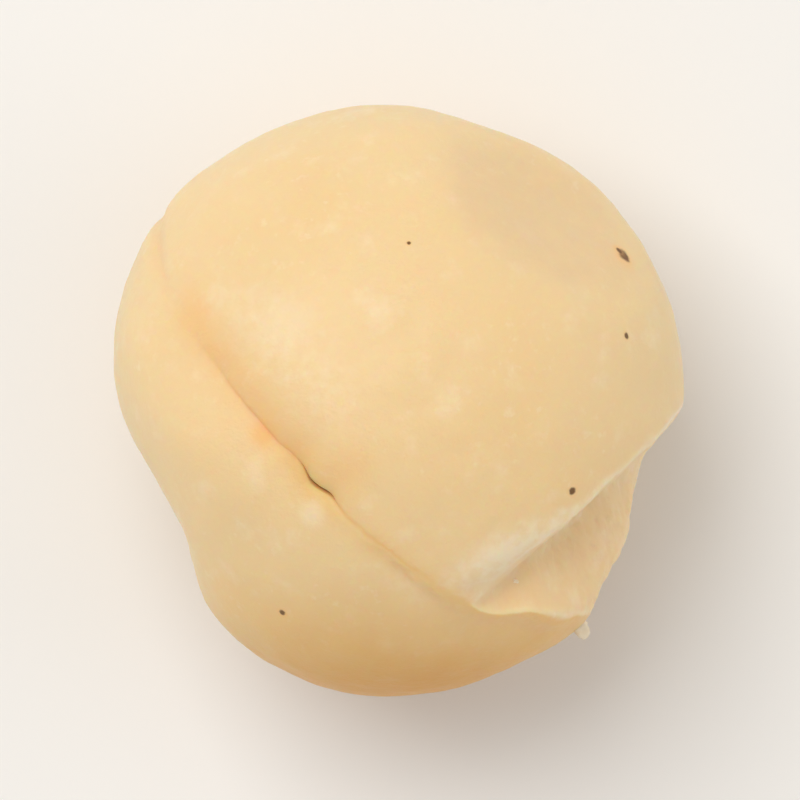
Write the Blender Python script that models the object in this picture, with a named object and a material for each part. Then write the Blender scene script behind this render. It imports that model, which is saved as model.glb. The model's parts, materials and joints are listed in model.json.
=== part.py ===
"""A shelled macadamia kernel, whole, as one solid: metres, +Z up, origin under the middle of its base.

The kernel is two seed halves grown together. Their seam runs across the lower left of the body, open as
a crack at its middle, and a chip is missing from the upper half where the seam meets the right-hand side.
"""
import math

import bmesh
import bpy
from mathutils import Vector, noise

# Driving dimensions, in metres
MM = 0.001
HALF_WIDTH = 9.2 * MM
HALF_LENGTH = 9.6 * MM
HALF_HEIGHT = 8.1 * MM
BASE_DROP = 7.55 * MM
BASE_BLEND = 0.25 * MM
BASE_SKIM = 0.02 * MM
RIPPLE_HEIGHT = 0.10 * MM
RIPPLES_PER_METRE = 230.0

# Broad swells (+) and hollows (-): azimuth, elevation and spread in degrees, then height
SWELLS = (
    (145, 5, 26, 0.48 * MM),
    (-156, -4, 18, -1.28 * MM),
    (-151, 9, 12, -0.52 * MM),
    (72, 0, 15, -0.30 * MM),
    (-64, 0, 10, -0.22 * MM),
    (-136, 0, 12, -0.04 * MM),
    (-140, 30, 17, -0.22 * MM),
    (-30, 55, 30, 0.10 * MM),
    (-17, -38, 26, -0.75 * MM),
)

# Flats where neighbours in the shell pressed: azimuth, elevation, distance from the middle, edge blend
FLATS = (
    (52, 33, 8.28 * MM, 0.7 * MM),
    (-60, -42, 8.50 * MM, 1.5 * MM),
    (168, -46, 8.30 * MM, 1.5 * MM),
    (58, -50, 8.20 * MM, 1.5 * MM),
)

# The seam between the halves lies in one plane, and a place along it is an angle about the plane's normal.
# Each stretch has its first and last angle, then the margin over which both ends fade
SEAM_NORMAL = Vector((0.633, 0.672, 0.386)).normalized()
SEAM_OFFSET = -0.77 * MM
SEAM_MIDDLE = Vector((-2.81, -2.69, 7.29)) * MM
FOLD_DEPTH = 0.42 * MM
FOLD_WIDTH = 0.85 * MM
FOLD_ANGLES = (-48, 8, 13)
ROLL_HEIGHT = 0.26 * MM
ROLL_DISTANCE = 2.3 * MM
ROLL_WIDTH = 1.3 * MM
ROLL_ANGLES = (-62, -12, 16)
STEP_DEPTH = 0.28 * MM
STEP_ANGLES = (16, 78, 12)
STEP_FADE = 3.2 * MM
SEAM_LINE_DEPTH = 0.09 * MM
SEAM_LINE_WIDTH = 0.5 * MM

# The chip: a steep wall under its lip, a floor that slopes down from it, with a low ridge near its lower
# rim, and two outer faces that end it at the kernel's side. The lip is more worn the further it faces +X
CHIP_WALL = (Vector((0.672, -0.740, 0.0)).normalized(), 6.46 * MM)
CHIP_FLOOR = (Vector((0.613, 0.115, 0.782)).normalized(), 4.88 * MM)
CHIP_OUTER = (Vector((0.985, -0.170, 0.0)).normalized(), 7.95 * MM)
CHIP_CORNER = (Vector((0.844, -0.537, 0.0)).normalized(), 8.68 * MM)
CHIP_RIDGE = (-56, 28, 8, 0.42 * MM)
CHIP_LIP_BLEND = 0.35 * MM
CHIP_WORN_BLEND = 0.3 * MM
CHIP_WORN_RANGE = (0.80, 0.97)
CHIP_FOOT_BLEND = 0.5 * MM
CHIP_CORNER_BLEND = 0.3 * MM
CHIP_RIM_BLEND = 1.4 * MM

# A direction that never meets a plane gets this radius, and the ball starts as this many splits
FAR = 1.0
MESH_LEVEL = 5


def toward(azimuth, elevation):
    """Unit vector at an azimuth from +X and an elevation from the horizon, in degrees."""
    azimuth = math.radians(azimuth)
    elevation = math.radians(elevation)
    flat = math.cos(elevation)
    return Vector((flat * math.cos(azimuth), flat * math.sin(azimuth), math.sin(elevation)))


def soft_min(first, second, blend):
    """The smaller length, with a fillet where the two meet."""
    closeness = max(blend - abs(first - second), 0.0) / blend
    return min(first, second) - 0.25 * blend * closeness * closeness


def soft_max(first, second, blend):
    """The larger length, with a fillet where the two meet."""
    return -soft_min(-first, -second, blend)


def rise(value, low, high):
    """Goes smoothly from 0 at low to 1 at high."""
    share = min(max((value - low) / (high - low), 0.0), 1.0)
    return share * share * (3.0 - 2.0 * share)


def between(value, low, high, margin):
    """1 inside a range of angles, fading to 0 across a margin at each end."""
    return rise(value, low - margin, low + margin) * (1.0 - rise(value, high - margin, high + margin))


def plane_radius(direction, normal, distance):
    """Distance from the middle to a plane, measured along a direction."""
    facing = direction.dot(normal)
    return distance / facing if facing > distance / FAR else FAR


def swell_height(direction, azimuth, elevation, spread, height):
    """How much a swell adds along a direction."""
    turn = math.degrees(direction.angle(toward(azimuth, elevation), 0.0)) / spread
    return height * math.exp(-turn * turn)


def body_radius(direction):
    """The grown outer form: an ellipsoid with its swells, ripples and pressed flats."""
    scaled = Vector((direction.x / HALF_WIDTH, direction.y / HALF_LENGTH, direction.z / HALF_HEIGHT))
    radius = 1.0 / scaled.length
    for swell in SWELLS:
        radius += swell_height(direction, *swell)
    radius += RIPPLE_HEIGHT * noise.noise(direction * radius * RIPPLES_PER_METRE)
    for azimuth, elevation, distance, blend in FLATS:
        radius = soft_min(radius, plane_radius(direction, toward(azimuth, elevation), distance), blend)
    return radius


def seam_place(point):
    """Where a point lies beside the seam (+ is the upper half) and how far round it, in degrees."""
    across = point.dot(SEAM_NORMAL) - SEAM_OFFSET
    start = (SEAM_MIDDLE - SEAM_NORMAL * SEAM_MIDDLE.dot(SEAM_NORMAL)).normalized()
    onward = SEAM_NORMAL.cross(start)
    return across, math.degrees(math.atan2(point.dot(onward), point.dot(start)))


def seam_relief(point):
    """Height that the seam adds at a point: fold, raised roll, step down to the lower half, fine line."""
    across, along = seam_place(point)
    distance = abs(across)
    fold = FOLD_DEPTH * between(along, *FOLD_ANGLES) * math.exp(-(distance / FOLD_WIDTH) ** 1.5)
    beside = (across + ROLL_DISTANCE) / ROLL_WIDTH
    roll = ROLL_HEIGHT * between(along, *ROLL_ANGLES) * math.exp(-beside * beside)
    below = max(-across, 0.0)
    step = STEP_DEPTH * between(along, *STEP_ANGLES) * rise(below, 0.0, SEAM_LINE_WIDTH)
    step *= math.exp(-below / STEP_FADE)
    line = SEAM_LINE_DEPTH * max(1.0 - distance / SEAM_LINE_WIDTH, 0.0)
    return roll - fold - step - line


def chip_radius(direction):
    """Surface left by the chip, seen along a direction; it only counts where it is inside the body."""
    wall = plane_radius(direction, *CHIP_WALL)
    outer = plane_radius(direction, *CHIP_OUTER)
    rim = soft_min(outer, plane_radius(direction, *CHIP_CORNER), CHIP_CORNER_BLEND)
    floor = soft_min(plane_radius(direction, *CHIP_FLOOR), rim, CHIP_RIM_BLEND)
    return soft_max(wall, floor + swell_height(direction, *CHIP_RIDGE), CHIP_FOOT_BLEND)


def kernel_point(direction):
    """The kernel's surface along a direction, with its underside eased down to the resting flat."""
    radius = body_radius(direction)
    radius += seam_relief(direction * radius)
    lip_blend = CHIP_LIP_BLEND + CHIP_WORN_BLEND * rise(direction.x, *CHIP_WORN_RANGE)
    radius = soft_min(radius, chip_radius(direction), lip_blend)
    point = direction * radius
    point.z = soft_max(point.z, -BASE_DROP, BASE_BLEND)
    return point


def cut_base(mesh):
    """Skims the underside, so that the kernel rests on one true flat face."""
    everything = mesh.verts[:] + mesh.edges[:] + mesh.faces[:]
    level = Vector((0.0, 0.0, BASE_SKIM - BASE_DROP))
    cut = bmesh.ops.bisect_plane(mesh, geom=everything, plane_co=level, plane_no=(0, 0, 1), clear_inner=True)
    rim = [item for item in cut["geom_cut"] if isinstance(item, bmesh.types.BMEdge)]
    bmesh.ops.contextual_create(mesh, geom=rim)


def stand_on_origin(mesh):
    """Moves the middle of the base of the kernel's box to the origin."""
    corners = [[pick(vert.co[axis] for vert in mesh.verts) for axis in range(3)] for pick in (min, max)]
    low = Vector(corners[0])
    high = Vector(corners[1])
    shift = Vector((-(low.x + high.x) / 2, -(low.y + high.y) / 2, -low.z))
    bmesh.ops.translate(mesh, verts=mesh.verts, vec=shift)


def kernel_material():
    """Cream-coloured nut flesh with a satin skin."""
    material = bpy.data.materials.new("kernel_flesh")
    material.use_nodes = True
    shader = material.node_tree.nodes["Principled BSDF"]
    shader.inputs["Base Color"].default_value = (0.88, 0.68, 0.38, 1.0)
    shader.inputs["Roughness"].default_value = 0.45
    shader.inputs["Metallic"].default_value = 0.0
    return material


def make_kernel():
    """Models the kernel as one closed object."""
    mesh = bmesh.new()
    bmesh.ops.create_icosphere(mesh, subdivisions=MESH_LEVEL, radius=1.0)
    for vert in mesh.verts:
        vert.co = kernel_point(vert.co.normalized())
    cut_base(mesh)
    stand_on_origin(mesh)
    bmesh.ops.recalc_face_normals(mesh, faces=mesh.faces)
    data = bpy.data.meshes.new("kernel")
    mesh.to_mesh(data)
    mesh.free()
    data.shade_smooth()
    data.materials.append(kernel_material())
    kernel = bpy.data.objects.new("kernel", data)
    bpy.context.scene.collection.objects.link(kernel)
    return kernel


for leftover in list(bpy.data.objects):
    bpy.data.objects.remove(leftover)
make_kernel()
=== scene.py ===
# %% [markdown]
# # A shelled macadamia kernel
# A macadamia kernel is two seed halves grown together inside one shell. This one is whole. Its seam
# slants across the lower left, a short crack has opened along it, and a chip is gone from the upper
# half where the seam meets the right-hand side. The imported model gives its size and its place: it
# rests on a small flat at the origin, +Z up. The looks are made here, around that frame.

import json
import math

import bmesh
import bpy
from mathutils import Matrix, Vector, noise

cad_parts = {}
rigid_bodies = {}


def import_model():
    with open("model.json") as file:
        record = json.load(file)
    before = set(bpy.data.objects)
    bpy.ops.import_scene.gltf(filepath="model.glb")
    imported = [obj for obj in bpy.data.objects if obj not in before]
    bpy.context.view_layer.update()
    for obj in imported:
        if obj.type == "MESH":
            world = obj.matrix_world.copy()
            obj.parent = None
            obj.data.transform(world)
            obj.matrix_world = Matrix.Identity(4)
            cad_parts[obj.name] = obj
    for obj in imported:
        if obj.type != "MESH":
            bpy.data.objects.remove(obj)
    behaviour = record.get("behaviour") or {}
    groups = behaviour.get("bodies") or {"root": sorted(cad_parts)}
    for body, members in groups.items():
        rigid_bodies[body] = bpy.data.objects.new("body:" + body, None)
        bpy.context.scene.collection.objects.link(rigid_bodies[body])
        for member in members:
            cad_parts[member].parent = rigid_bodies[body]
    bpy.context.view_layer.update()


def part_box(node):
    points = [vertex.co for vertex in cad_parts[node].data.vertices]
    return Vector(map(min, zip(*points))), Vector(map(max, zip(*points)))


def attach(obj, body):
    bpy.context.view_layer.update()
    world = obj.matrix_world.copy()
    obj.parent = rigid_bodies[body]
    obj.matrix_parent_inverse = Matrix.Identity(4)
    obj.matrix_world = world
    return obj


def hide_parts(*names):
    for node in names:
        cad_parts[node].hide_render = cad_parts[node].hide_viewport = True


for leftover in list(bpy.data.objects):
    bpy.data.objects.remove(leftover)
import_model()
low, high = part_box("kernel")
size = high - low
MM = 0.001
print("kernel in the frame, mm:", [round(side / MM, 2) for side in size])

# %% [markdown]
# ## Lengths that blend
# A grown form has no hard joins, so its surfaces are mixed with soft versions of min and max. Each
# keeps a fillet where two lengths come close. `rise` is the smooth step between two values, and
# `between` is a window with soft ends. Together they do what a sculpting brush's falloff does.

# %% Soft helpers
def toward(azimuth, elevation):
    """Unit vector at an azimuth from +X and an elevation from the horizon, in degrees."""
    azimuth = math.radians(azimuth)
    elevation = math.radians(elevation)
    flat = math.cos(elevation)
    return Vector((flat * math.cos(azimuth), flat * math.sin(azimuth), math.sin(elevation)))


def soft_min(first, second, blend):
    """The smaller length, with a fillet where the two meet."""
    closeness = max(blend - abs(first - second), 0.0) / blend
    return min(first, second) - 0.25 * blend * closeness * closeness


def soft_max(first, second, blend):
    """The larger length, with a fillet where the two meet."""
    return -soft_min(-first, -second, blend)


def rise(value, start, end):
    """Goes smoothly from 0 at start to 1 at end."""
    share = min(max((value - start) / (end - start), 0.0), 1.0)
    return share * share * (3.0 - 2.0 * share)


def between(value, start, end, margin):
    """1 inside a range, fading to 0 across a margin at each end."""
    return rise(value, start - margin, start + margin) * (1.0 - rise(value, end - margin, end + margin))


def bell(value):
    """A soft hump, 1 at 0 and nothing past about 2."""
    return math.exp(-value * value)


def ripple(point, per_mm, seed=0.0):
    """Smooth noise from -1 to 1, with this many waves to the millimetre."""
    return noise.noise(point * (per_mm / MM) + Vector((seed, -seed, 2.0 * seed)))


print("half way up the smooth step:", rise(0.5, 0.0, 1.0))

# %% [markdown]
# ## The grown body
# The kernel is nearly a ball, so it is modelled as a ball whose points move in and out along their
# own direction from the middle. Its plain form is an ellipsoid. A short list of broad swells and
# hollows, each aimed at an azimuth and elevation, gives it its shoulder and its waist. The shell
# pressed a few flats on it, which are planes that cut the ball with a soft edge. Sculpting by hand would
# work too, but a list of named swells can be read, measured and changed.

# %% The body's driving values
HALF_WIDTH = 9.2 * MM
HALF_LENGTH = 9.6 * MM
HALF_HEIGHT = 8.1 * MM
BASE_DROP = 7.55 * MM
BASE_BLEND = 0.25 * MM
RIPPLE_HEIGHT = 0.10 * MM
RIPPLES_PER_MM = 0.23

# Broad swells (+) and hollows (-): where each is aimed, its spread in degrees and its height
SWELLS = [
    (toward(145, 5), 26, 0.48 * MM),
    (toward(-156, -4), 18, -1.28 * MM),
    (toward(-151, 9), 12, -0.52 * MM),
    (toward(72, 0), 15, -0.30 * MM),
    (toward(-64, 0), 10, -0.22 * MM),
    (toward(-136, 0), 12, -0.04 * MM),
    (toward(-140, 30), 17, -0.22 * MM),
    (toward(-30, 55), 30, 0.10 * MM),
    (toward(-17, -38), 26, -0.75 * MM),
]

# Flats: where each faces, its distance from the middle and how softly its edge blends
FLATS = [
    (toward(52, 33), 8.28 * MM, 0.7 * MM),
    (toward(-60, -42), 8.50 * MM, 1.5 * MM),
    (toward(168, -46), 8.30 * MM, 1.5 * MM),
    (toward(58, -50), 8.20 * MM, 1.5 * MM),
]


def plane_radius(direction, normal, distance):
    """Distance from the middle to a plane, measured along a direction. A plane never met is far away."""
    facing = direction.dot(normal)
    return distance / facing if facing > distance else 1.0


def body_radius(direction):
    """The grown outer form along a direction, and how deep the shell's flats press into it there."""
    scaled = Vector((direction.x / HALF_WIDTH, direction.y / HALF_LENGTH, direction.z / HALF_HEIGHT))
    grown = 1.0 / scaled.length
    for aim, spread, height in SWELLS:
        grown += height * bell(math.degrees(direction.angle(aim, 0.0)) / spread)
    grown += RIPPLE_HEIGHT * ripple(direction * grown, RIPPLES_PER_MM)
    radius = grown
    for aim, distance, blend in FLATS:
        radius = soft_min(radius, plane_radius(direction, aim, distance), blend)
    return radius, grown - radius


print("top of the body, mm:", round(body_radius(Vector((0, 0, 1)))[0] / MM, 2))

# %% [markdown]
# ## The seam
# The halves meet in a plane, so a point's place beside the seam is its distance from that plane, and
# its place along it is an angle about the plane's normal. At the left the halves are fused and the
# seam is only a soft fold with a raised roll below it. Towards the middle the fold sharpens and opens
# as a narrow, jogged crack. From there on the lower half sits a little lower and the seam is a fine,
# ragged line, which turns up beside the chip. Each of these could be carved by hand. Here each is a
# profile across the seam times a window along it, so that its depth and its ends stay easy to change.

# %% The seam's place
SEAM_NORMAL = Vector((0.633, 0.672, 0.386)).normalized()
SEAM_OFFSET = -0.77 * MM
SEAM_MIDDLE = Vector((-2.81, -2.69, 7.29)) * MM
SEAM_START = (SEAM_MIDDLE - SEAM_NORMAL * SEAM_MIDDLE.dot(SEAM_NORMAL)).normalized()
SEAM_ONWARD = SEAM_NORMAL.cross(SEAM_START)


def seam_place(point):
    """Distance from the seam in millimetres (+ is the upper half) and the angle along it in degrees."""
    across = (point.dot(SEAM_NORMAL) - SEAM_OFFSET) / MM
    along = math.degrees(math.atan2(point.dot(SEAM_ONWARD), point.dot(SEAM_START)))
    jog = 0.09 * bell((along + 7) / 4.0) - 0.10 * bell((along + 0.5) / 2.8) + 0.08 * bell((along - 5) / 3.0)
    jog += 0.50 * rise(along, 46, 60) + 0.18 * bell((along - 60) / 3.2) + 0.28 * rise(along, 68, 76)
    ragged = rise(along, 8, 24)
    wander = 0.05 * ripple(point, 0.55, 3.1) + (0.02 + 0.08 * ragged) * ripple(point, 1.9, 5.7)
    wander += 0.035 * ragged * ripple(point, 5.0, 8.3)
    return across - jog + wander, along


# %% The seam's stretches and depths
# Stretches along the seam in degrees: start, end and the margin over which both ends fade
FOLD_STRETCH = (-46, 6, 14)
ROLL_STRETCH = (-62, -12, 16)
PILLOW_STRETCH = (-40, 2, 14)
CRACK_STRETCH = (-4.5, 5.6, 2.4)
GAPING_STRETCH = (-1.5, 5.0, 2.0)
LINE_STRETCH = (-40, 60, 6)
UPPER_SHADE_STRETCH = (-12, 9, 6)
LOWER_SHADE_STRETCH = (14, 74, 8)
SEEN_STRETCH = (-58, 84, 12)
FOLD_SHADE_STRETCH = (-50, 6, 10)
PILLOW_HIGHLIGHT_STRETCH = (-44, -3, 8)

# Heights and depths in millimetres
ROLL_HEIGHT = 0.26
PILLOW_HEIGHT = 0.13
FOLD_DEPTH = 0.32
CREASE_DEPTH = 0.13
STEP_DEPTH = 0.26
CRACK_DEPTH = 0.22
LINE_DEPTH = 0.03
HIDDEN_DEPTH = 0.14
print("deepest part of the seam, mm:", FOLD_DEPTH + CREASE_DEPTH + CRACK_DEPTH)


# %% The seam's relief
def seam_relief(across, along):
    """Height in millimetres that the seam adds, and its colour marks, painted shade among them."""
    gap = abs(across)
    below = max(-across, 0.0)
    fold = between(along, *FOLD_STRETCH) * math.exp(-((gap / 0.95) ** 1.6))
    crease = rise(along, -44, -14) * (1.0 - rise(along, 4, 11)) * math.exp(-gap / 0.20)
    roll = between(along, *ROLL_STRETCH) * bell((across + 2.3) / 1.3)
    pillow = between(along, *PILLOW_STRETCH) * bell((across - 1.9) / 1.25)
    smooth = rise(along, 26, 46)
    step = rise(along, 8, 42) * (1.0 - rise(along, 62, 82)) * math.exp(-below / 3.0)
    step *= rise(below, 0.0, 0.40 + 0.50 * smooth)
    half_gap = 0.012 + 0.034 * between(along, *GAPING_STRETCH)
    crack = between(along, *CRACK_STRETCH) * rise(half_gap - gap, -0.030, 0.030)
    line = bell(gap / 0.11) * between(along, *LINE_STRETCH) * (0.25 + 0.75 * rise(along, -1, 9))
    line *= 1.0 - 0.6 * smooth
    # Painted shade: a golden band below the seam, where the lower half steps down, with the seam's own fine
    # line
    seam_shading = between(along, *UPPER_SHADE_STRETCH) + 0.7 * between(along, *LOWER_SHADE_STRETCH)
    seam_line_and_shade = bell((across + 0.10) / 0.42) * seam_shading
    hidden = (1.0 - between(along, *SEEN_STRETCH)) * bell(across / 0.38)
    height = ROLL_HEIGHT * roll + PILLOW_HEIGHT * pillow
    height -= (
        FOLD_DEPTH * fold + CREASE_DEPTH * crease + STEP_DEPTH * step
        + CRACK_DEPTH * crack + LINE_DEPTH * line + HIDDEN_DEPTH * hidden
    )
    # Painted shade: orange in the fold and in the hidden seam groove
    fold_shade = between(along, *FOLD_SHADE_STRETCH) * bell((across - 0.35) / 0.80)
    # The pale flecks on the pillow above the fold are partly mottling, partly a painted highlight
    pillow_highlight = between(along, *PILLOW_HIGHLIGHT_STRETCH) * bell((across - 2.2) / 1.2)
    marks = {"fold": max(fold_shade, 0.5 * hidden), "crack": crack, "seam_line_and_shade": max(seam_line_and_shade, line), "pillow": pillow_highlight}
    return height, marks


print("seam at the crack, mm and degrees:", [round(part, 2) for part in seam_place(SEAM_MIDDLE)])

# %% [markdown]
# ## The germ point
# Where the seam runs out on the hidden side sits the germ, the point that would sprout. It shows as a
# small tan nub in a puckered dimple, with short creases running out from it like spokes. It could be a
# piece of its own, but it grows out of the skin with no edge, so it is relief too: a hump in a hollow,
# and a wave that runs round it.

# %% Germ relief
GERM_ANGLE = math.radians(-122)
GERM_AIM = (SEAM_START * math.cos(GERM_ANGLE) + SEAM_ONWARD * math.sin(GERM_ANGLE)).normalized()
GERM_SIDE = SEAM_NORMAL.cross(GERM_AIM).normalized()
GERM_REACH = 25
GERM_SPOKES = 9
NUB_HEIGHT = 0.22
DIMPLE_DEPTH = 0.30
SPOKE_DEPTH = 0.05


def germ_relief(direction):
    """Height in millimetres round the germ point, and how strongly its tan colour shows."""
    away = math.degrees(direction.angle(GERM_AIM, 0.0))
    if away > GERM_REACH:
        return 0.0, 0.0
    spoke = math.atan2(direction.dot(GERM_SIDE), direction.dot(SEAM_NORMAL))
    wave = math.cos(GERM_SPOKES * spoke + 2.0 * math.sin(2 * spoke + 1.0))
    creases = SPOKE_DEPTH * bell((away - 7.5) / 4.0) * wave
    nub = NUB_HEIGHT * bell(away / 2.2)
    return nub + creases - DIMPLE_DEPTH * bell(away / 7.5), bell(away / 3.6)


print("germ's azimuth:", round(math.degrees(math.atan2(GERM_AIM.y, GERM_AIM.x))), "degrees")

# %% [markdown]
# ## The chip
# The chip broke out of the upper half. Its steep wall stands under the lip, its floor slopes down from
# the wall to the kernel's side, and two outer faces end it at the rim. Four planes make it: the floor
# and the outer faces blend into one broken face, the larger of that and the wall is what the break
# left, and the surface is the smaller of that and the grown body. Broken flesh is uneven, so the face
# carries noise and a low ridge, and it rises to a ledge where the break ran out along the seam. The lip
# is crisp at the right and worn at the tip. A Boolean could cut the chip too, but its edge would be
# equally sharp all the way round.

# %% The chip's planes and blends
CHIP_WALL = (Vector((0.672, -0.740, 0.0)).normalized(), 6.46 * MM)
CHIP_FLOOR = (Vector((0.613, 0.115, 0.782)).normalized(), 4.88 * MM)
CHIP_OUTER = (Vector((0.985, -0.170, 0.0)).normalized(), 7.95 * MM)
CHIP_CORNER = (Vector((0.844, -0.537, 0.0)).normalized(), 8.68 * MM)
CHIP_RIDGE = toward(-56, 28)
RIDGE_SPREAD = 8
RIDGE_HEIGHT = 0.42
CORNER_BLEND = 0.3 * MM
FACE_BLEND = 1.6 * MM
FOOT_BLEND = 0.5 * MM


def chip_radius(direction, skin):
    """Surface that the chip leaves along a direction. It counts only where it is inside the body."""
    grain = 0.060 * ripple(skin, 1.6, 2.2) + 0.030 * ripple(skin, 4.1, 4.4) + 0.010 * ripple(skin, 9.0, 6.6)
    grain -= 0.16 * abs(ripple(skin, 0.8, 3.7)) + 0.05 * abs(ripple(skin, 2.6, 5.2)) - 0.05
    ridge = bell(math.degrees(direction.angle(CHIP_RIDGE)) / RIDGE_SPREAD)
    swell = 0.13 * ripple(skin, 0.42, 9.1) + RIDGE_HEIGHT * ridge
    jagged = 0.12 * ripple(skin, 0.55, 1.3) + 0.06 * ripple(skin, 1.5, 8.8)
    wall = plane_radius(direction, *CHIP_WALL) + (0.5 * grain + jagged) * MM
    outer = plane_radius(direction, *CHIP_OUTER)
    rim = soft_min(outer, plane_radius(direction, *CHIP_CORNER), CORNER_BLEND)
    face = soft_min(plane_radius(direction, *CHIP_FLOOR), rim, FACE_BLEND)
    return soft_max(wall, face + (grain + swell) * MM, FOOT_BLEND)


# %% The ledge and the lip
# Roundings of the lip in millimetres: where it is crisp, and what wear and the corner add
LIP_CRISP = 0.14
LIP_WORN = 1.00
LIP_CORNER = 0.30


def ledge_height(across, along):
    """How far in millimetres the broken face rises where the break ran out along the seam."""
    ledge = 0.8 * rise(0.10 - across, 0.0, 0.6) + 0.25 * bell(across / 0.8) * rise(along, 52, 66)
    return ledge * (1.0 - rise(along, 74, 86))


def wear(skin):
    """How worn the lip is at a place on the skin: 1 by the tip, 0 along the crisp part and the rim."""
    return (1.0 - rise(skin.x / MM, 2.6, 5.6)) * rise(skin.y / MM, -6.7, -5.9)


def lip_rounding(skin):
    """How far the edge between skin and break is rounded."""
    corner = rise(skin.x / MM, 7.4, 9.0)
    return (LIP_CRISP + LIP_WORN * wear(skin) + LIP_CORNER * corner) * MM


print("broken face at its ridge, mm:", round(chip_radius(CHIP_RIDGE, CHIP_RIDGE * HALF_WIDTH) / MM, 2))

# %% [markdown]
# ## The skin
# The skin is smooth but not perfect: shallow dimples a millimetre or two across, finer unevenness
# between them, and faint wrinkles that run beside the fold. They are too low to see one by one, yet
# they break up the light as it falls across the kernel. A bump in the material could fake them, but
# then the mesh would be bare without its material, so they are part of the form.

# %% Skin relief
def skin_relief(point, across, along):
    """Height in millimetres of the skin's dimples, unevenness and wrinkles at a point."""
    dimples = 0.052 * ripple(point, 0.65, 11.0) + 0.025 * ripple(point, 1.6, 12.0)
    fine = 0.008 * ripple(point, 4.5, 13.0)
    beside = between(along, -60, 10, 14) * bell(across / 2.6)
    wrinkles = 0.016 * beside * noise.noise(Vector((across * 2.1, along * 0.09, 7.0)))
    return dimples + fine + wrinkles


print("skin relief at the crack, mm:", round(skin_relief(SEAM_MIDDLE, 0.0, 0.0), 3))

# %% [markdown]
# ## One point of the kernel
# Everything so far is a rule for one point, so one function can put the rules together. It also says how
# fine the mesh has to be there, and which marks the material should find: where the flesh is broken,
# where the lip catches the light, where the skin is scraped or scuffed.

# %% One point of the kernel
# The longest edge allowed at each kind of place
CRACK_EDGE = 0.045 * MM
LIP_EDGE = 0.075 * MM
SEAM_EDGE = 0.080 * MM
BREAK_EDGE = 0.12 * MM
SKIN_EDGE = 0.21 * MM

# How near in millimetres counts as at the seam and at the lip
NEAR_SEAM = 0.30
NEAR_LIP = 0.22


def detail_length(across, along, depth):
    """Longest edge that the form allows at a point: short where there is fine relief."""
    gap = abs(across)
    if gap < NEAR_SEAM and -12 < along < 9:
        return CRACK_EDGE
    if abs(depth) < NEAR_LIP:
        return LIP_EDGE
    if gap < NEAR_SEAM and -60 < along < 85:
        return SEAM_EDGE
    return BREAK_EDGE if depth > 0 else SKIN_EDGE


def sculpt(direction):
    """The kernel's surface along a direction, the material's marks there and the longest edge allowed."""
    body, pressed = body_radius(direction)
    skin = direction * body
    across, along = seam_place(skin)
    seam_height, marks = seam_relief(across, along)
    germ_height, marks["germ"] = germ_relief(direction)
    body += (seam_height + germ_height + skin_relief(skin, across, along)) * MM
    cut = chip_radius(direction, skin) + ledge_height(across, along) * MM
    point = direction * soft_min(body, cut, lip_rounding(skin))
    point.z = soft_max(point.z, -BASE_DROP, BASE_BLEND)
    depth = (body - cut) / MM
    worn = wear(skin)
    marks["chip"] = rise(depth, -0.02 - 0.15 * worn, 0.10 + 0.60 * worn)
    # The lip mark is a painted highlight along the edge of the break
    marks["lip"] = bell((depth + 0.05) / 0.14) * (1.0 - 0.8 * worn)
    beside_lip = (CHIP_WALL[1] - skin.dot(CHIP_WALL[0])) / MM + 0.25 * ripple(skin, 0.9, 25.0)
    band = 0.25 + 1.55 * (1.0 - rise(skin.x / MM, 2.4, 6.4))
    marks["scraped"] = (1.0 - rise(beside_lip, 0.45 * band, band)) * rise(across, -0.1, 0.2)
    marks["scraped"] *= 1.0 - marks["chip"]
    uneven = 0.12 * ripple(skin, 0.6, 21.0) + 0.06 * ripple(skin, 1.7, 22.0)
    marks["scuff"] = rise(pressed / MM + uneven, 0.08, 0.45)
    return point, marks, detail_length(across, along, depth)


marks_there = sculpt(SEAM_MIDDLE.normalized())[1]
print("marks at the crack:", {name: round(mark, 2) for name, mark in marks_there.items()})

# %% [markdown]
# ## The kernel's mesh
# An icosphere spreads its triangles evenly and has no poles, which suits a grown form. It starts at a
# level that carries the skin. Where the form is finer than that, at the crack, the seam, the lip and
# the rim, every edge that is too long for its place is split, and the new points are sculpted too. The
# split faces are cut into triangles while they are still flat: once a point has moved, a triangle could
# be laid twice over the same three points. After a few rounds the mesh is dense only where it has to be.
# The sculpting also writes its marks to the points, as attributes from 0 to 1, so that the material
# knows where the fold and the chip are.

# %% Building and refining
SPHERE_LEVEL = 7
REFINE_ROUNDS = 3
MARK_NAMES = ("fold", "crack", "seam_line_and_shade", "pillow", "germ", "chip", "lip", "scraped", "scuff")

kernel_mesh = bmesh.new()
mark_layers = {name: kernel_mesh.verts.layers.float.new(name) for name in MARK_NAMES}
detail_layer = kernel_mesh.verts.layers.float.new("detail")


def move_to_surface(verts):
    """Sculpts points: each moves along its own direction from the middle of the kernel."""
    for vert in verts:
        vert.co, marks, vert[detail_layer] = sculpt(vert.co.normalized())
        for name, layer in mark_layers.items():
            vert[layer] = marks[name]


def too_long(edge):
    """Whether an edge is longer than the form allows at either end."""
    return edge.calc_length() > min(vert[detail_layer] for vert in edge.verts)


bmesh.ops.create_icosphere(kernel_mesh, subdivisions=SPHERE_LEVEL, radius=HALF_HEIGHT)
move_to_surface(kernel_mesh.verts)
for refine_round in range(REFINE_ROUNDS):
    long_edges = [edge for edge in kernel_mesh.edges if too_long(edge)]
    split = bmesh.ops.subdivide_edges(kernel_mesh, edges=long_edges, cuts=1, use_single_edge=True)
    bmesh.ops.triangulate(kernel_mesh, faces=[face for face in kernel_mesh.faces if len(face.verts) > 3])
    move_to_surface([item for item in split["geom_inner"] if isinstance(item, bmesh.types.BMVert)])
    print("round", refine_round + 1, "split", len(long_edges), "edges:", len(kernel_mesh.faces), "triangles")

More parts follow.
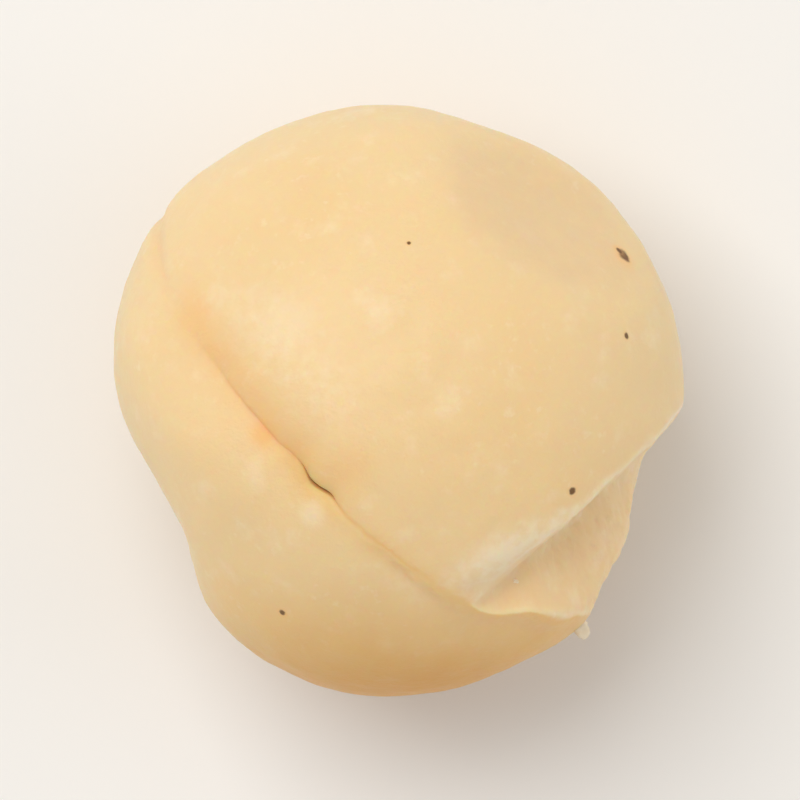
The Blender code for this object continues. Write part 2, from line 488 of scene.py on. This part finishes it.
# %% [markdown]
# ## Seating the mesh
# The sculpting works round the kernel's middle. The frame has the origin under the kernel, so the mesh
# is fitted to the frame's box: the same size, its base at the origin's height. The object itself stays
# at the origin, unturned and unscaled, so patterns on its coordinates keep their place.

# %% Fitting to the frame
def box_of(mesh):
    """Lowest and highest corners of a mesh."""
    return [Vector([pick(vert.co[axis] for vert in mesh.verts) for axis in range(3)]) for pick in (min, max)]


made_low, made_high = box_of(kernel_mesh)
fit = Vector([size[axis] / (made_high - made_low)[axis] for axis in range(3)])
bmesh.ops.scale(kernel_mesh, verts=kernel_mesh.verts, vec=fit)
made_low, made_high = box_of(kernel_mesh)
seat = (low + high - made_low - made_high) / 2
bmesh.ops.translate(kernel_mesh, verts=kernel_mesh.verts, vec=seat)
bmesh.ops.recalc_face_normals(kernel_mesh, faces=kernel_mesh.faces)
kernel_mesh.verts.layers.float.remove(detail_layer)
print("scaled to the frame by", [round(part, 4) for part in fit])


def seated(point):
    """Where a point of the sculpting ends up in the frame."""
    return Vector([point[axis] * fit[axis] for axis in range(3)]) + seat


def finished(mesh, name, material):
    """Turns a bmesh into a smooth object at the origin."""
    data = bpy.data.meshes.new(name)
    mesh.to_mesh(data)
    mesh.free()
    data.shade_smooth()
    data.materials.append(material)
    piece = bpy.data.objects.new(name, data)
    bpy.context.scene.collection.objects.link(piece)
    return piece


# %% [markdown]
# ## Shader maths as expressions
# A material is easier to read as a sum than as a web of nodes. `Value` wraps a socket and overloads
# the arithmetic operators, so an expression adds its own Math nodes. `node` makes any other node from
# its type, its settings and its inputs, and colours are mixed by `blend`.

# %% The expression class
class Value:
    """A number that varies over the surface."""

    def __init__(self, socket):
        self.socket = socket

    def math(self, operation, first, second):
        return node("ShaderNodeMath", {"operation": operation}, {0: first, 1: second})

    def __add__(self, other):
        return self.math("ADD", self, other)

    def __sub__(self, other):
        return self.math("SUBTRACT", self, other)

    def __rsub__(self, other):
        return self.math("SUBTRACT", other, self)

    def __mul__(self, other):
        return self.math("MULTIPLY", self, other)

    __radd__ = __add__
    __rmul__ = __mul__


def use_tree(material):
    """Points the node helpers at a material."""
    global tree
    material.use_nodes = True
    tree = material.node_tree


def node(kind, settings=None, inputs=None, output=0):
    """Makes a node: its settings first, then the values or links of its sockets."""
    made = tree.nodes.new(kind)
    for name, setting in (settings or {}).items():
        setattr(made, name, setting)
    for name, value in (inputs or {}).items():
        if isinstance(value, Value):
            tree.links.new(value.socket, made.inputs[name])
        else:
            made.inputs[name].default_value = value
    return Value(made.outputs[output])


def blend(first, second, share):
    """Mixes two colours by a share, which may vary."""
    return node("ShaderNodeMix", {"data_type": "RGBA"}, {0: share, 6: first, 7: second}, output=2)


def mark(name):
    """One of the marks that the sculpting left on the mesh."""
    return node("ShaderNodeAttribute", {"attribute_name": name}, output=2)


def step_up(value, start, end):
    """Goes smoothly from 0 to 1 as a value goes from start to end."""
    settings = {"interpolation_type": "SMOOTHSTEP"}
    return node("ShaderNodeMapRange", settings, {"Value": value, "From Min": start, "From Max": end})


def mottle(place, waves_per_mm, detail=2.0, roughness=0.5):
    """Cloudy noise from 0 to 1 with this many waves to the millimetre."""
    scale = waves_per_mm / MM
    inputs = {"Vector": place, "Scale": scale, "Detail": detail, "Roughness": roughness}
    return node("ShaderNodeTexNoise", {}, inputs)


print("helpers that add nodes:", [helper.__name__ for helper in (node, blend, mark, step_up, mottle)])

# %% [markdown]
# ## The flesh
# Nut flesh is cream-coloured, waxy and a little translucent. Light goes in, scatters for a millimetre
# or so and comes out warmer, so its shadows are golden. The colour varies too: pinkish on the broken
# face and the scuffed flats, pale where the skin is scraped beside the lip, and faintly mottled all
# over. A few dark specks sit on it. Shade is painted into the colour as well: golden to amber round the
# lower end and the underside, orange in the fold, golden below the seam and brown in the crack. A pale
# line along the lip is painted highlight, and the pale flecks beside the fold are partly painted highlight.

# %% Colours
CREAM = (0.885, 0.668, 0.368, 1)
PALE = (0.950, 0.785, 0.560, 1)
# The golden is a tone of the flesh and also painted shade on the lower end, the underside and below the seam
GOLDEN = (0.830, 0.480, 0.130, 1)
# The amber is painted shade at the lower end
AMBER_SHADE = (0.700, 0.310, 0.050, 1)
# The fold orange is painted shade in the fold, and the tone of some patches and of the rims of specks
FOLD_ORANGE = (0.930, 0.520, 0.180, 1)
BROKEN = (0.900, 0.670, 0.390, 1)
SCUFFED = (0.780, 0.555, 0.325, 1)
GERM_TAN = (0.420, 0.230, 0.090, 1)
# The crack brown is painted shade in the crack
CRACK_SHADE = (0.370, 0.165, 0.030, 1)
SPECK_BROWN = (0.150, 0.058, 0.012, 1)

# Dark specks on the skin: place from above in millimetres from the kernel's middle, and radius
SPECKS = [
    (7.20, 4.66, 0.24),
    (7.05, 4.80, 0.12),
    (7.24, 2.06, 0.10),
    (5.50, -2.90, 0.12),
    (-3.77, -6.82, 0.11),
    (0.28, 5.00, 0.06),
]

# Soft patches of another colour: place as above, radius, colour and strength
PATCHES = [
    (-4.35, -1.05, 0.55, FOLD_ORANGE, 0.60),
    (7.15, 4.60, 0.60, FOLD_ORANGE, 0.30),
    (-1.60, -2.20, 0.90, FOLD_ORANGE, 0.18),
    (-6.60, 2.90, 0.90, FOLD_ORANGE, 0.20),
    (-2.80, -3.65, 0.50, PALE, 0.55),
    (-3.60, 2.50, 1.00, PALE, 0.30),
    (3.10, -5.30, 1.10, PALE, 0.30),
    (2.15, -5.85, 0.40, SCUFFED, 0.35),
]

# Rounds of closing in on the surface above a place
PLACING_ROUNDS = 12


def surface_point(x, y):
    """The kernel's upper surface above a place given in millimetres from its middle."""
    aim = Vector((x * MM, y * MM, HALF_HEIGHT / 2))
    for attempt in range(PLACING_ROUNDS):
        radius = sculpt(aim.normalized())[0].length
        aim.z = math.sqrt(max(radius * radius - aim.xy.length_squared, 0.0))
    return aim


print("specks:", len(SPECKS), "patches:", len(PATCHES))

# %% Where the colour changes
flesh = bpy.data.materials.new("kernel_flesh")
use_tree(flesh)
place = node("ShaderNodeTexCoord", output=3)
from_middle = node("ShaderNodeVectorMath", {"operation": "SUBTRACT"}, {0: place, 1: seat})
clouds = mottle(place, 0.16, 3.0)
blotches = mottle(place, 0.8, 4.0, 0.6)
flecks = mottle(place, 2.4, 3.0, 0.55)
grain = mottle(place, 4.0, 3.0, 0.6)


def reach(direction):
    """How far a point lies from the kernel's middle towards a direction, in millimetres."""
    inputs = {0: from_middle, 1: direction.normalized() / MM}
    return node("ShaderNodeVectorMath", {"operation": "DOT_PRODUCT"}, inputs, output=1)


# Painted shade: the lower end and the underside, which lie in shade, are made golden
low_reach = reach(Vector((0.05, -0.95, -0.30))) + (clouds - 0.5) * 2.0
lower_end_shade = step_up(low_reach, 3.0, 9.0)
underside_shade = step_up(reach(Vector((0, 0, -1))) + (clouds - 0.5) * 3.0, 0.5, 7.0)
golden_shade = 1 - (1 - lower_end_shade) * (1 - 0.65 * underside_shade)
print("nodes for where the colour changes:", len(tree.nodes))

# %% Base colour
colour = blend(CREAM, GOLDEN, step_up(clouds, 0.48, 0.74) * 0.10)
colour = blend(colour, PALE, step_up(blotches, 0.52, 0.80) * 0.50)
colour = blend(colour, PALE, step_up(flecks, 0.58, 0.76) * step_up(clouds, 0.40, 0.62) * 0.45)
# Pale flecks on the pillow: partly mottling, partly a painted highlight
colour = blend(colour, PALE, mark("pillow") * step_up(flecks, 0.35, 0.65) * 0.30)
colour = blend(colour, SCUFFED, mark("scuff") * (0.1 + 0.6 * blotches))
# Painted shade: golden over the lower end and the underside, then amber at the lower rim
colour = blend(colour, GOLDEN, golden_shade * 0.88)
colour = blend(colour, AMBER_SHADE, step_up(low_reach, 6.0, 9.2) * 0.66)
patchy = step_up(blotches * 0.5 + flecks * 0.5, 0.40, 0.58)
colour = blend(colour, PALE, mark("scraped") * (0.25 + 0.7 * patchy))
# Painted shade: orange in the fold and in the hidden seam groove
colour = blend(colour, FOLD_ORANGE, mark("fold") * (0.25 + 0.38 * blotches))
# Painted shade: golden below the seam, together with the seam's fine line
colour = blend(colour, GOLDEN, mark("seam_line_and_shade") * (0.25 + 0.45 * blotches))
colour = blend(colour, BROKEN, mark("chip") * (0.70 + 0.3 * flecks))
colour = blend(colour, PALE, mark("chip") * step_up(blotches, 0.50, 0.72) * 0.45)
# Painted highlight: a pale line along the lip
colour = blend(colour, PALE, mark("lip") * 0.45)
colour = blend(colour, GERM_TAN, mark("germ") * 0.85)
# Painted shade: brown in the crack
colour = blend(colour, CRACK_SHADE, mark("crack") * 0.85)


def reach_of(x, y):
    """How far a point lies from a place on the upper surface, in millimetres."""
    centre = seated(surface_point(x, y))
    offset = node("ShaderNodeVectorMath", {"operation": "SUBTRACT"}, {0: place, 1: centre})
    return node("ShaderNodeVectorMath", {"operation": "LENGTH"}, {0: offset}, output=1) * (1 / MM)


for x, y, radius, tint, strength in PATCHES:
    uneven = reach_of(x, y) + (blotches - 0.5) * (1.2 * radius)
    colour = blend(colour, tint, step_up(uneven, 1.3 * radius, 0.2 * radius) * strength)
for x, y, radius in SPECKS:
    uneven = reach_of(x, y) + (grain - 0.5) * (1.1 * radius)
    colour = blend(colour, FOLD_ORANGE, step_up(uneven, 2.4 * radius, 1.0 * radius) * 0.25)
    colour = blend(colour, SPECK_BROWN, step_up(uneven, 1.30 * radius, 0.60 * radius) * 0.92)
print("nodes up to the base colour:", len(tree.nodes))

# %% [markdown]
# ## The finish
# A fresh kernel has a satin sheen: waxy, never glossy, and duller where the flesh is torn. Roughness
# could be one number, but here it follows the blotches, the chip and the scuffs. Scattering under the
# surface gives the warm shadows: red light travels furthest in the flesh and blue hardly at all. The
# bump is a few hundredths of a millimetre high and carries only what is too fine for the mesh.

# %% Finish
BUMP_HEIGHT = 0.05 * MM
fine_relief = grain + mottle(place, 11.0) * 0.4 + blotches * 0.8
bump = node("ShaderNodeBump", {}, {"Strength": 0.5, "Distance": BUMP_HEIGHT, "Height": fine_relief})
roughness = 0.44 + (blotches - 0.5) * 0.14 + mark("chip") * 0.18 + mark("scuff") * 0.08
shader = tree.nodes["Principled BSDF"]
tree.links.new(colour.socket, shader.inputs["Base Color"])
tree.links.new(bump.socket, shader.inputs["Normal"])
tree.links.new(roughness.socket, shader.inputs["Roughness"])
shader.inputs["Subsurface Weight"].default_value = 0.85
shader.inputs["Subsurface Radius"].default_value = (1.0, 0.42, 0.16)
shader.inputs["Subsurface Scale"].default_value = 1.2 * MM
shader.inputs["IOR"].default_value = 1.46
shader.inputs["Specular IOR Level"].default_value = 0.35
print("flesh material:", len(tree.nodes), "nodes")

# %% [markdown]
# ## Taking the frame's place
# The imported solid is coarse. Its material could be changed and the solid kept, but its facets would
# show at the lip and the crack. So it stays hidden, for collision, and the fine mesh stands for it: it
# replaces the node and rides on its body, with a finish of its own.

# %% The kernel takes the frame's place
kernel_skin = finished(kernel_mesh, "kernel_skin", flesh)
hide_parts("kernel")
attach(kernel_skin, "root")
print("kernel skin:", len(kernel_skin.data.polygons), "triangles")

# %% [markdown]
# ## Crumbs
# Breaking left a few crumbs on the kernel: a thin curled flake on the chip's lower corner, a sliver at
# the waist, and two specks of flesh on the broken face. Each is a small sphere, flattened, dented and
# roughened with noise, then laid on the surface so that it sinks in a little. Scattering them as
# instances would suit hundreds, but four are placed one by one.

# %% Crumbs on the surface
# Azimuth and elevation of the place in degrees, how far out it lies, its length, width and thickness
# in millimetres, and its turn in degrees
CRUMBS = [
    (-51.6, 6.0, 0.13, 0.62, 0.44, 0.16, 65),
    (-148.8, 8.0, 0.06, 0.36, 0.13, 0.12, 120),
    (-44.0, 30.0, 0.02, 0.12, 0.09, 0.07, 10),
    (-57.5, 33.0, 0.02, 0.20, 0.12, 0.09, 140),
]


def add_crumb(mesh, azimuth, elevation, out, length, width, thickness, turn):
    """Adds one dented, uneven crumb, lying on the kernel's surface at a place."""
    aim = toward(azimuth, elevation)
    spot = seated(sculpt(aim)[0])
    shape = bmesh.ops.create_icosphere(mesh, subdivisions=3, radius=0.5)["verts"]
    for vert in shape:
        flat = vert.co.xy.length
        dent = 0.85 * bell(flat / 0.26) if vert.co.z > 0 else 0.0
        uneven = 1.0 + 0.75 * noise.noise(vert.co * 2.4 + Vector((azimuth, elevation, 0)))
        vert.co = Vector((vert.co.x, vert.co.y, vert.co.z * (1.0 - dent))) * uneven
        vert.co = Vector((vert.co.x * length, vert.co.y * width, vert.co.z * thickness)) * MM
    bmesh.ops.rotate(mesh, verts=shape, matrix=Matrix.Rotation(math.radians(turn), 3, "Z"))
    lie = (aim + Vector((0, 0, 1.5))).normalized()
    bmesh.ops.rotate(mesh, verts=shape, matrix=lie.to_track_quat("Z", "Y").to_matrix())
    bmesh.ops.translate(mesh, verts=shape, vec=spot + aim * (out * MM))


crumb_mesh = bmesh.new()
for crumb in CRUMBS:
    add_crumb(crumb_mesh, *crumb)
print("crumbs:", len(CRUMBS))

# %% The crumbs' finish
CRUMB_PALE = (0.96, 0.83, 0.62, 1)
CRUMB_TAN = (0.88, 0.66, 0.40, 1)

crumb_flesh = bpy.data.materials.new("crumb_flesh")
use_tree(crumb_flesh)
shader = tree.nodes["Principled BSDF"]
uneven = mottle(node("ShaderNodeTexCoord", output=3), 3.0)
tint = blend(CRUMB_PALE, CRUMB_TAN, step_up(uneven, 0.45, 0.70) * 0.8)
dents = node("ShaderNodeBump", {}, {"Strength": 0.5, "Distance": BUMP_HEIGHT, "Height": uneven})
tree.links.new(tint.socket, shader.inputs["Base Color"])
tree.links.new(dents.socket, shader.inputs["Normal"])
shader.inputs["Roughness"].default_value = 0.35

crumbs = finished(crumb_mesh, "crumbs", crumb_flesh)
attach(crumbs, "root")
print("crumbs' material:", len(tree.nodes), "nodes")

# %% [markdown]
# ## The stage
# The kernel lies on a plain pale floor. A large soft lamp stands above it at the back left, a weak one
# low at the right brings out the broken face, and a pale surround fills the shadows. One strong lamp
# would be simpler, but hard shadows hide the shallow relief of the skin.

# %% Floor
FLOOR_SIDE = 3.0
floor_mesh = bmesh.new()
bmesh.ops.create_grid(floor_mesh, x_segments=1, y_segments=1, size=FLOOR_SIDE / 2)
floor_material = bpy.data.materials.new("pale_floor")
use_tree(floor_material)
tree.nodes["Principled BSDF"].inputs["Base Color"].default_value = (0.92, 0.91, 0.89, 1)
tree.nodes["Principled BSDF"].inputs["Roughness"].default_value = 0.8
floor = finished(floor_mesh, "floor", floor_material)
print("floor, m:", FLOOR_SIDE)

# %% Lamps and surround
def add_lamp(name, away, side, watts, colour):
    """A square lamp at a place, turned towards the kernel's middle."""
    data = bpy.data.lights.new(name, "AREA")
    data.energy = watts
    data.size = side
    data.color = colour
    lamp = bpy.data.objects.new(name, data)
    lamp.location = (low + high) / 2 + away
    lamp.rotation_euler = (-away).to_track_quat("-Z", "Y").to_euler()
    bpy.context.scene.collection.objects.link(lamp)
    return lamp


add_lamp("key_lamp", Vector((-0.17, 0.20, 0.45)), 0.36, 1.54, (1.0, 0.98, 0.95))
add_lamp("side_lamp", Vector((0.42, 0.02, 0.18)), 0.25, 0.26, (1.0, 0.97, 0.93))
surround = bpy.data.worlds.new("pale_surround")
surround.use_nodes = True
surround.node_tree.nodes["Background"].inputs["Color"].default_value = (1.0, 0.985, 0.96, 1)
surround.node_tree.nodes["Background"].inputs["Strength"].default_value = 0.52
bpy.context.scene.world = surround
bpy.context.scene.view_settings.view_transform = "Standard"

# %% [markdown]
# ## The camera
# The kernel is seen from straight above. A long lens from nearly half a metre keeps its outline true,
# where a close one would swell the middle. The width of the view follows from the kernel's size.

# %% Camera
STAND_OFF = 0.45
FILLS = 0.74
camera_data = bpy.data.cameras.new("camera")
view_width = max(size.x, size.y) / FILLS
camera_data.lens = STAND_OFF * camera_data.sensor_width / view_width
camera_data.clip_start = STAND_OFF / 20
camera_data.clip_end = STAND_OFF * 10
camera = bpy.data.objects.new("camera", camera_data)
camera.location = (seat.x, seat.y, high.z / 2 + STAND_OFF)
bpy.context.scene.collection.objects.link(camera)
bpy.context.scene.camera = camera
print("lens, mm:", round(camera_data.lens))
